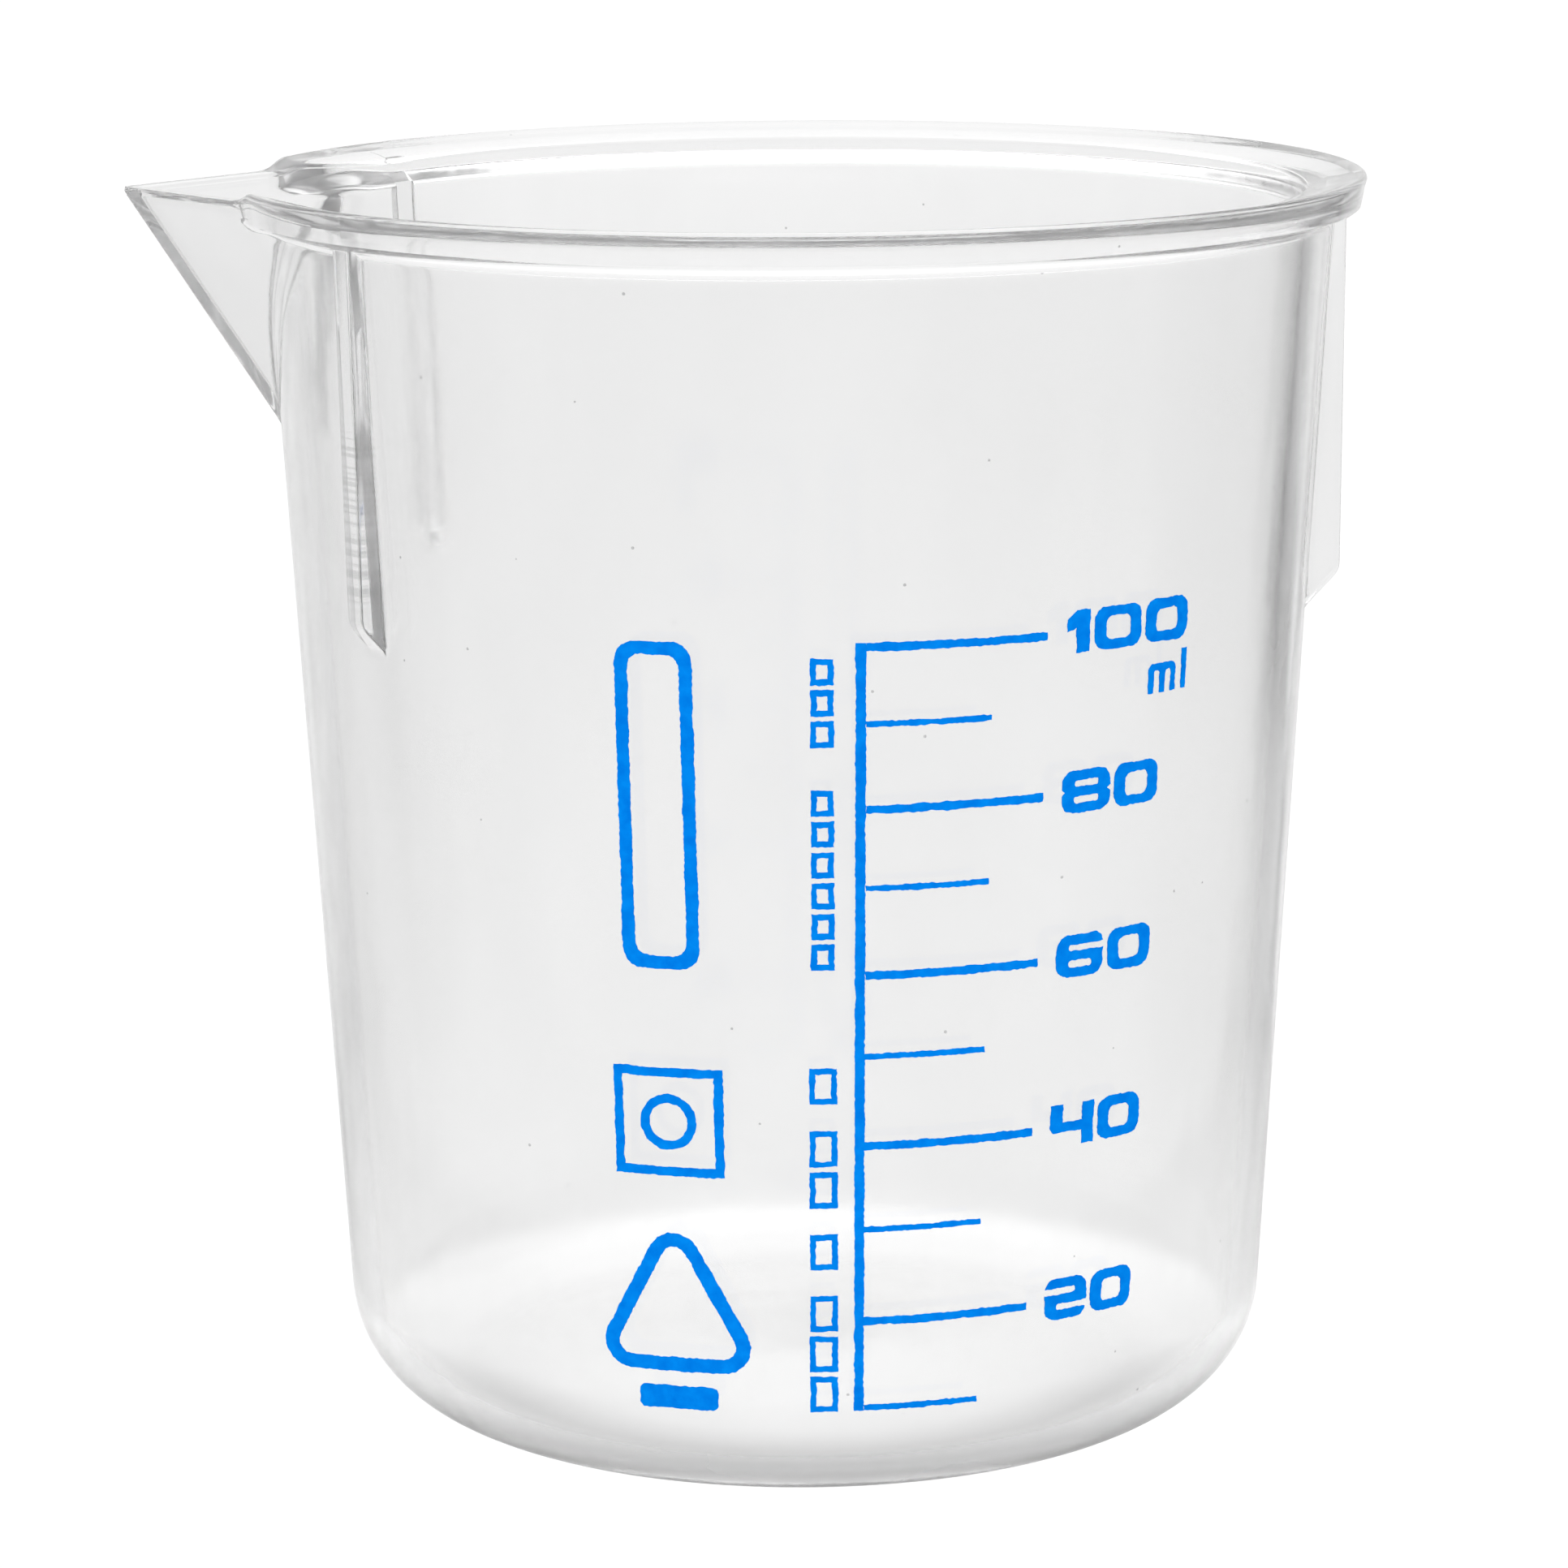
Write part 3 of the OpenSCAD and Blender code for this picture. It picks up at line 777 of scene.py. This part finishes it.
# brightness of the surround against the part of a level direction that goes left or right
LEFT_STOPS = (
    (0.0, 0.92),
    (0.1, 0.98),
    (0.25, 1.03),
    (0.4, 0.97),
    (0.63, 0.83),
    (0.8, 0.66),
    (1.0, 0.66),
)
RIGHT_STOPS = (
    (0.0, 0.92),
    (0.1, 0.97),
    (0.3, 1.05),
    (0.42, 1.02),
    (0.54, 0.88),
    (0.6, 0.6),
    (0.65, 0.2),
    (0.75, 0.24),
    (0.88, 0.62),
    (1.0, 0.68),
)
# its least brightness against the part that goes away from the camera
FRONT_STOPS = ((-0.2, 0.85), (0.1, 0.0))
# and its gain against the part that goes up
UP_STOPS = ((0.0, 0.98), (0.2, 1.02), (0.4, 1.1), (0.6, 1.5), (0.8, 2.0), (1.0, 2.0))

# the table against the distance from the beaker's axis, in metres: least brightness on all
# sides and on the right, gain of the whole, and gain in front of and behind the axis: a
# painted shadow of the foot in front and a painted pool of light behind
NEAR_STOPS = ((0.03, 0.93), (0.05, 0.86), (0.08, 0.76), (0.19, 0.0))
NEAR_RIGHT_STOPS = ((0.12, 0.66), (0.17, 0.6), (0.27, 0.0))
FAR_STOPS = ((0.05, 1.02), (0.2, 1.0), (0.4, 0.97))
SHADOW_STOPS = (
    (0.0, 1.07),
    (0.008, 1.04),
    (0.015, 0.91),
    (0.0195, 0.55),
    (0.022, 0.58),
    (0.0255, 0.88),
    (0.032, 0.86),
    (0.05, 1.0),
)
GLOW_STOPS = (
    (0.0, 1.07),
    (0.012, 1.03),
    (0.02, 0.98),
    (0.026, 1.02),
    (0.0325, 1.12),
    (0.0365, 0.93),
    (0.05, 0.96),
)
# share of the front's gain against the distance behind the axis
IN_FRONT_STOPS = ((-0.01, 1.0), (0.004, 0.0))


def side_light(tree, direction, least_right=None):
    """Brightness in a level direction, with a socket that can lift the right side."""
    axes = add_axes(tree, direction)
    left = grey_ramp(tree, add_math(tree, "MULTIPLY", axes["X"], -1), LEFT_STOPS)
    right = grey_ramp(tree, axes["X"], RIGHT_STOPS)
    if least_right is not None:
        right = add_math(tree, "MAXIMUM", right, least_right)
    behind = add_math(tree, "MINIMUM", left, right)
    return add_math(tree, "MAXIMUM", behind, grey_ramp(tree, axes["Y"], FRONT_STOPS))


def table_light(tree):
    """Brightness of a point of the table as the plastic sees it."""
    place = add_coordinates(tree, "Object")
    distance = add_vector_math(tree, "LENGTH", place, "Value")
    direction = add_vector_math(tree, "NORMALIZE", place, "Vector")
    sides = side_light(tree, direction, grey_ramp(tree, distance, NEAR_RIGHT_STOPS))
    sides = add_math(tree, "MAXIMUM", sides, grey_ramp(tree, distance, NEAR_STOPS))
    in_front = grey_ramp(tree, add_axes(tree, place)["Y"], IN_FRONT_STOPS)
    glow = grey_ramp(tree, distance, GLOW_STOPS)
    shadow = grey_ramp(tree, distance, SHADOW_STOPS)
    far = grey_ramp(tree, distance, FAR_STOPS)
    # painted shadow of the foot in front of the axis, painted pool of light behind it
    gain = add_math(tree, "MULTIPLY", blend(tree, in_front, glow, shadow), far)
    return add_math(tree, "MULTIPLY", sides, gain)


def surround_light(tree):
    """Brightness of a direction as the plastic sees it."""
    direction = add_coordinates(tree, "Generated")
    height = grey_ramp(tree, add_axes(tree, direction)["Z"], UP_STOPS)
    return add_math(tree, "MULTIPLY", side_light(tree, direction), height)


SEEN_WHITE = 1.05


def white_to_camera(tree, strength):
    """The strength that lights the plastic, or plain white where the camera looks straight."""
    path = tree.nodes.new("ShaderNodeLightPath")
    switch = tree.nodes.new("ShaderNodeMapRange")
    switch.inputs["To Max"].default_value = SEEN_WHITE
    tree.links.new(path.outputs["Is Camera Ray"], switch.inputs["Value"])
    tree.links.new(strength, switch.inputs["To Min"])
    return switch.outputs["Result"]


TABLE_HALF_WIDTH = 0.6
# just under the foot, so that the two never share a plane
TABLE_Z = -0.0002


def add_floor():
    mesh = bmesh.new()
    bmesh.ops.create_grid(mesh, x_segments=1, y_segments=1, size=TABLE_HALF_WIDTH)
    data = bpy.data.meshes.new("floor")
    mesh.to_mesh(data)
    mesh.free()
    floor = bpy.data.objects.new("floor", data)
    floor.location.z = TABLE_Z
    material = bpy.data.materials.new("white_table")
    material.use_nodes = True
    tree = material.node_tree
    tree.nodes.clear()
    shader = tree.nodes.new("ShaderNodeEmission")
    output = tree.nodes.new("ShaderNodeOutputMaterial")
    tree.links.new(white_to_camera(tree, table_light(tree)), shader.inputs["Strength"])
    tree.links.new(shader.outputs["Emission"], output.inputs["Surface"])
    data.materials.append(material)
    bpy.context.scene.collection.objects.link(floor)


def set_world():
    world = bpy.data.worlds.new("surround")
    bpy.context.scene.world = world
    world.use_nodes = True
    tree = world.node_tree
    tree.nodes.clear()
    shader = tree.nodes.new("ShaderNodeBackground")
    shader.inputs["Color"].default_value = (1, 1, 1, 1)
    output = tree.nodes.new("ShaderNodeOutputWorld")
    tree.links.new(white_to_camera(tree, surround_light(tree)), shader.inputs["Strength"])
    tree.links.new(shader.outputs["Background"], output.inputs["Surface"])


# metres, degrees and millimetres
CAMERA_PLACE = (0.0, -0.3202, 0.10225)
CAMERA_TILT = 11.80
CAMERA_ROLL = -0.41
CAMERA_TURN = 0.185
CAMERA_LENS = 130.83
CAMERA_SENSOR = 36
CAMERA_CLIP = (0.01, 10)


def add_camera():
    data = bpy.data.cameras.new("camera")
    data.lens = CAMERA_LENS
    data.sensor_width = CAMERA_SENSOR
    data.clip_start, data.clip_end = CAMERA_CLIP
    camera = bpy.data.objects.new("camera", data)
    turn = (
        Matrix.Rotation(math.radians(CAMERA_TURN), 4, "Z")
        @ Matrix.Rotation(math.radians(90 - CAMERA_TILT), 4, "X")
        @ Matrix.Rotation(math.radians(CAMERA_ROLL), 4, "Z")
    )
    camera.matrix_world = Matrix.Translation(CAMERA_PLACE) @ turn
    bpy.context.scene.collection.objects.link(camera)
    bpy.context.scene.camera = camera


# ---- Assembly ----

# degrees between two faces above which their shared edge is sharp
SHARP_ANGLE = 38
# light has to travel far inside the rim, the spout's keel and the fins before it comes out
BOUNCES = 96
DIFFUSE_BOUNCES = 24

plastic = clear_plastic()
ink = blue_ink()

vessel_data = vessel_mesh()
smooth_by_angle(vessel_data, SHARP_ANGLE)
vessel = add_piece("vessel", vessel_data, plastic)
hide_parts("beaker_body")

for number, (name, node) in enumerate(sorted(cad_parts.items())):
    if name == "beaker_body":
        continue
    outlines = [ragged(loop, number * SEED_STEP) for loop in outline_loops(node)]
    mark = add_piece(name + "_ink", ink_mesh(name + "_ink", outlines), ink)
    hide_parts(name)

add_floor()
set_world()
add_camera()
scene = bpy.context.scene
scene.view_settings.view_transform = "Standard"
scene.cycles.max_bounces = BOUNCES
scene.cycles.transmission_bounces = BOUNCES
scene.cycles.glossy_bounces = BOUNCES
scene.cycles.diffuse_bounces = DIFFUSE_BOUNCES
